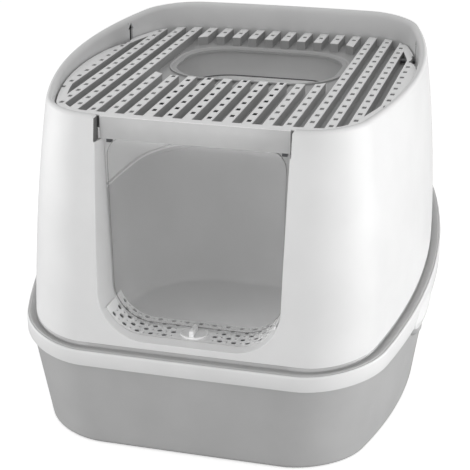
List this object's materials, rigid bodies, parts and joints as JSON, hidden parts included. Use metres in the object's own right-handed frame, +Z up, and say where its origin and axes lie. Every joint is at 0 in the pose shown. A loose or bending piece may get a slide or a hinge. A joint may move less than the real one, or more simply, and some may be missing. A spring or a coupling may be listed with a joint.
{
  "type": "top entry litter box",
  "caption": "Top entry litter box with a grey tub, a white hood, a hinged grate lid and a smoky swing door.",
  "frame": {"origin": "middle of the overall footprint, on the floor the tub stands on", "axes": "+X to the right, +Y to the back, +Z up; the doorway faces -Y"},
  "size_m": [0.4386, 0.4636, 0.3724],
  "materials": {
    "tub": "satin",
    "hood": "satin",
    "grate": "satin",
    "door": "smoky translucent",
    "pins": "satin"
  },
  "bodies": {
    "tub": {"base_tray": "tub", "rim_ring": "hood"},
    "hood": {"hood": "hood", "sill_strip": "hood"},
    "lid": {"lid_grate": "grate", "entry_funnel": "grate", "lid_hinge_pins": "pins", "door_hangers": "pins", "door_hinge_rod": "pins"},
    "door": {"door_flap": "door"},
    "knob": {"latch_knob": "hood", "latch_retainer": "pins"}
  },
  "joints": [
    {"name": "hood_lift", "type": "slide", "parent": "tub", "child": "hood", "axis": [0, 0, 1], "range_m": [0, 0.12]},
    {"name": "lid_hinge", "type": "hinge", "parent": "hood", "child": "lid", "pos_m": [0, 0.116, 0.33635], "axis": [-1, 0, 0], "range_deg": [0, 95]},
    {"name": "door_swing", "type": "hinge", "parent": "lid", "child": "door", "pos_m": [0, -0.183, 0.3235], "axis": [1, 0, 0], "range_deg": [0, 80]},
    {"name": "knob_turn", "type": "hinge", "parent": "hood", "child": "knob", "pos_m": [0, -0.195, 0.1254], "axis": [0, 0, 1], "range_deg": [-90, 90]}
  ]
}
